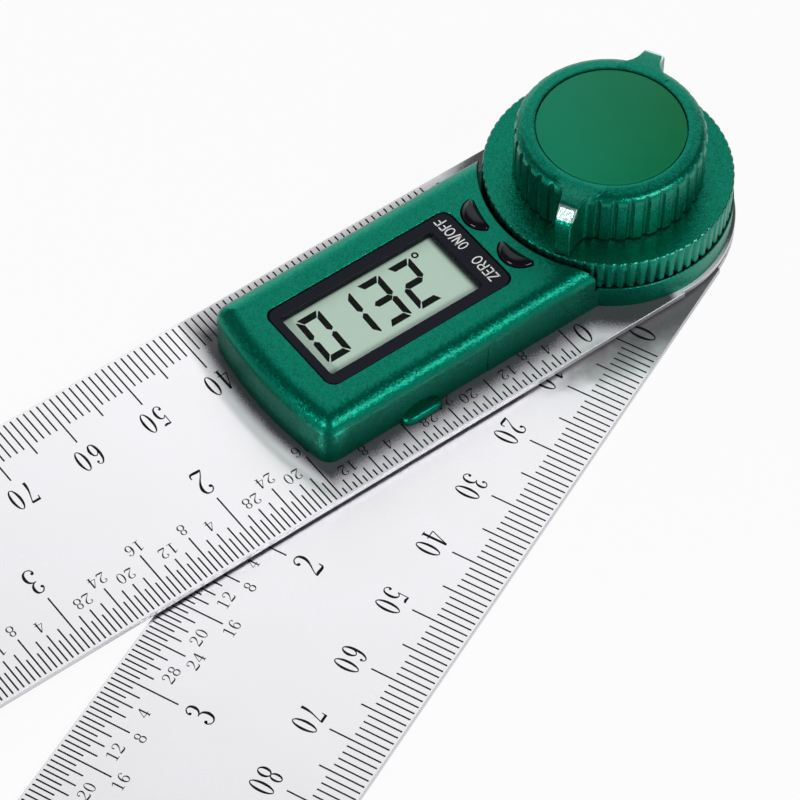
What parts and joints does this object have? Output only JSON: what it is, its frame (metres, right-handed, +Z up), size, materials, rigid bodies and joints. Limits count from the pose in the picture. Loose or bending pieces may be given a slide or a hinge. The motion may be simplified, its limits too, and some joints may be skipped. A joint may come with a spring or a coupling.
{
  "type": "digital angle finder",
  "caption": "Digital angle rule: two engraved steel rules on a pivot, a display housing with push buttons and battery drawer, and a winged lock knob.",
  "frame": {"origin": "on the pivot axis at the flat underside of the lower rule and its flush hub foot", "axes": "+Z up along the pivot axis, +X along the upper rule to its free end, +Y to the upper rule's inch edge"},
  "size_m": [0.2432, 0.1222, 0.019],
  "materials": {
    "rule_steel": "satin brushed stainless steel, engraved and filled black",
    "green_case": "teal green moulding with a fine metallic fleck",
    "green_disc": "glossy green domed disc, bare",
    "key_black": "glossy black",
    "bezel_black": "satin black with white words",
    "clear_lens": "clear acrylic",
    "display_glass": "grey-green reflective display",
    "circuit_board": "green solder mask",
    "chip_black": "matt black",
    "cable_film": "amber film",
    "plated_steel": "nickel plate",
    "brass": "turned brass",
    "white_nylon": "natural white",
    "strip_rubber": "pink silicone rubber"
  },
  "bodies": {
    "upper_arm": {"upper_blade": "rule_steel", "housing": "green_case", "bezel": "bezel_black", "display_window": "clear_lens", "lcd_panel": "display_glass", "zebra_strip": "strip_rubber", "main_board": "circuit_board", "controller_chip": "chip_black", "on_off_dome": "plated_steel", "zero_dome": "plated_steel", "contact_positive": "plated_steel", "contact_negative": "plated_steel", "encoder_stator": "circuit_board", "encoder_ribbon": "cable_film", "board_screw_1": "plated_steel", "board_screw_2": "plated_steel", "housing_screw_1": "plated_steel", "housing_screw_2": "plated_steel", "housing_screw_3": "plated_steel", "housing_screw_4": "plated_steel", "blade_washer": "white_nylon"},
    "lower_arm": {"lower_blade": "rule_steel", "pivot_hub": "plated_steel", "encoder_rotor": "circuit_board", "serrated_wheel": "green_case", "wave_washer": "plated_steel", "retaining_nut": "plated_steel"},
    "knob_bush": {"knob_insert": "brass"},
    "lock_knob": {"lock_knob": "green_case", "knob_label": "green_disc"},
    "on_off_key": {"on_off_button": "key_black"},
    "zero_key": {"zero_button": "key_black"},
    "battery_drawer": {"battery_tray": "green_case", "coin_cell": "plated_steel"}
  },
  "joints": [
    {"name": "arm_angle", "type": "hinge", "parent": "upper_arm", "child": "lower_arm", "pos_m": [0, 0, 0], "axis": [0, 0, 1], "continuous": true},
    {"name": "knob_lift", "type": "slide", "parent": "lower_arm", "child": "knob_bush", "axis": [0, 0, 1], "range_m": [0, 0.0005]},
    {"name": "knob_turn", "type": "hinge", "parent": "knob_bush", "child": "lock_knob", "pos_m": [0, 0, 0], "axis": [0, 0, 1], "range_deg": [0, 180]},
    {"name": "on_off_press", "type": "slide", "parent": "upper_arm", "child": "on_off_key", "axis": [0, 0, -1], "range_m": [0, 0.0006], "stiffness_N_per_m": 1500},
    {"name": "zero_press", "type": "slide", "parent": "upper_arm", "child": "zero_key", "axis": [0, 0, -1], "range_m": [0, 0.0006], "stiffness_N_per_m": 1500},
    {"name": "drawer_slide", "type": "slide", "parent": "upper_arm", "child": "battery_drawer", "axis": [0, 1, 0], "range_m": [0, 0.024]}
  ],
  "couplings": [
    {"joint": "knob_turn", "follows": "knob_lift", "rad_per_m": 6283.2}
  ]
}
